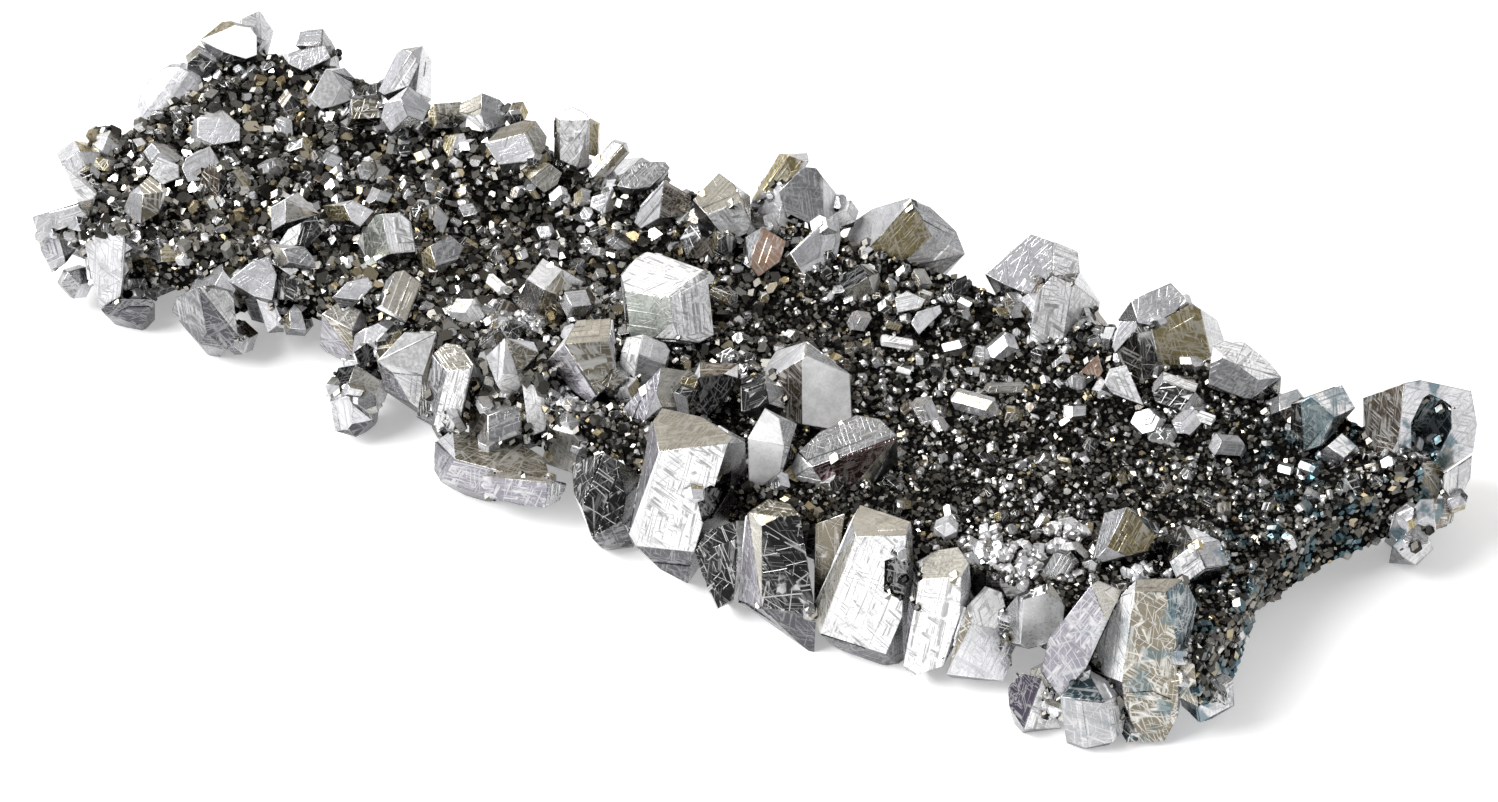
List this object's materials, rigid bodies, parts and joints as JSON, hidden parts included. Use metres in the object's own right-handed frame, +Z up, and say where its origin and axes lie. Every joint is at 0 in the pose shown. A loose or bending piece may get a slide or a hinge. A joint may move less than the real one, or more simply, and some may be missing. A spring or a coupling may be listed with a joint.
{
  "type": "niobium crystal cluster",
  "caption": "Long strip of grown-together niobium crystals: large bright crystals along the rims and a shallow trough lined with small ones.",
  "frame": {"origin": "on the plane the cluster rests on, under the middle of its bounding box", "axes": "+X along the strip towards its broader end, +Y towards its far rim as pictured, +Z up"},
  "size_m": [0.0764, 0.0296, 0.0105],
  "materials": {
    "niobium": "bare bright crystal faces, some matt or scratched, a few with thin straw, copper, purple and teal oxide tints"
  },
  "bodies": {
    "root": {"crystal_cluster": "niobium"}
  },
  "joints": []
}
